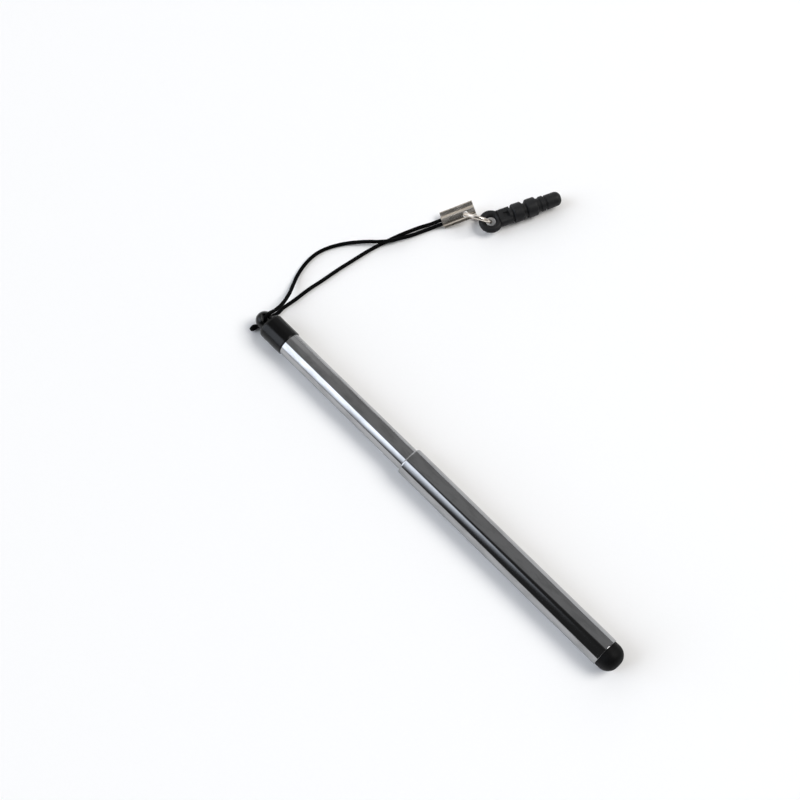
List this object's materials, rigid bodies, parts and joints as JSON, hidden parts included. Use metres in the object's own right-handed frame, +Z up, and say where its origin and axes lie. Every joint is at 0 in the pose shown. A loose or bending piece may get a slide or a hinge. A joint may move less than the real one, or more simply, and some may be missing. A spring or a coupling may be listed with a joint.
{
  "type": "telescopic capacitive stylus",
  "caption": "Pocket touchscreen stylus: chrome tubes that slide into one another, a rubber dome tip, an eyelet cap, and a cord with a ring that carries a rubber dust plug.",
  "frame": {"origin": "on the plane that the pen lies on, below the middle of the drawn-out pen without its lanyard", "axes": "+X along the pen towards the rubber tip, +Y towards the side where the lanyard lies, +Z up from the plane"},
  "size_m": [0.1098, 0.0715, 0.0065],
  "materials": {
    "barrel_chrome": "polished",
    "tube_chrome": "polished",
    "turned_brass": "machined",
    "spring_brass": "satin",
    "tip_rubber": "matte",
    "cap_plastic": "satin gloss",
    "cord_fabric": "woven",
    "ferrule_nickel": "satin",
    "ring_nickel": "polished",
    "plug_rubber": "matte"
  },
  "bodies": {
    "barrel": {"outer_tube": "barrel_chrome", "tip_holder": "turned_brass", "rubber_tip": "tip_rubber"},
    "shims": {"shim_left": "spring_brass", "shim_right": "spring_brass"},
    "extension": {"stop_plug": "turned_brass", "inner_tube": "tube_chrome", "end_cap": "cap_plastic", "cord_loop": "cord_fabric", "cord_strand_a": "cord_fabric", "cord_strand_b": "cord_fabric", "crimp_ferrule": "ferrule_nickel"},
    "ring": {"jump_ring": "ring_nickel"},
    "plug": {"dust_plug": "plug_rubber"}
  },
  "joints": [
    {"name": "tube_slide", "type": "slide", "parent": "barrel", "child": "shims", "axis": [1, 0, 0], "range_m": [0, 0.0364]},
    {"name": "tube_swivel", "type": "hinge", "parent": "shims", "child": "extension", "pos_m": [0, 0, 0.00325], "axis": [1, 0, 0], "continuous": true},
    {"name": "ring_swing", "type": "hinge", "parent": "extension", "child": "ring", "pos_m": [-0.03912, 0.04924, 0.0031], "axis": [0.1919, -0.3766, 0.9063], "range_deg": [-50, 100]},
    {"name": "plug_swing", "type": "hinge", "parent": "ring", "child": "plug", "pos_m": [-0.03423, 0.05222, 0.00215], "axis": [0.4955, -0.191, 0.8473], "range_deg": [-90, 50]}
  ]
}
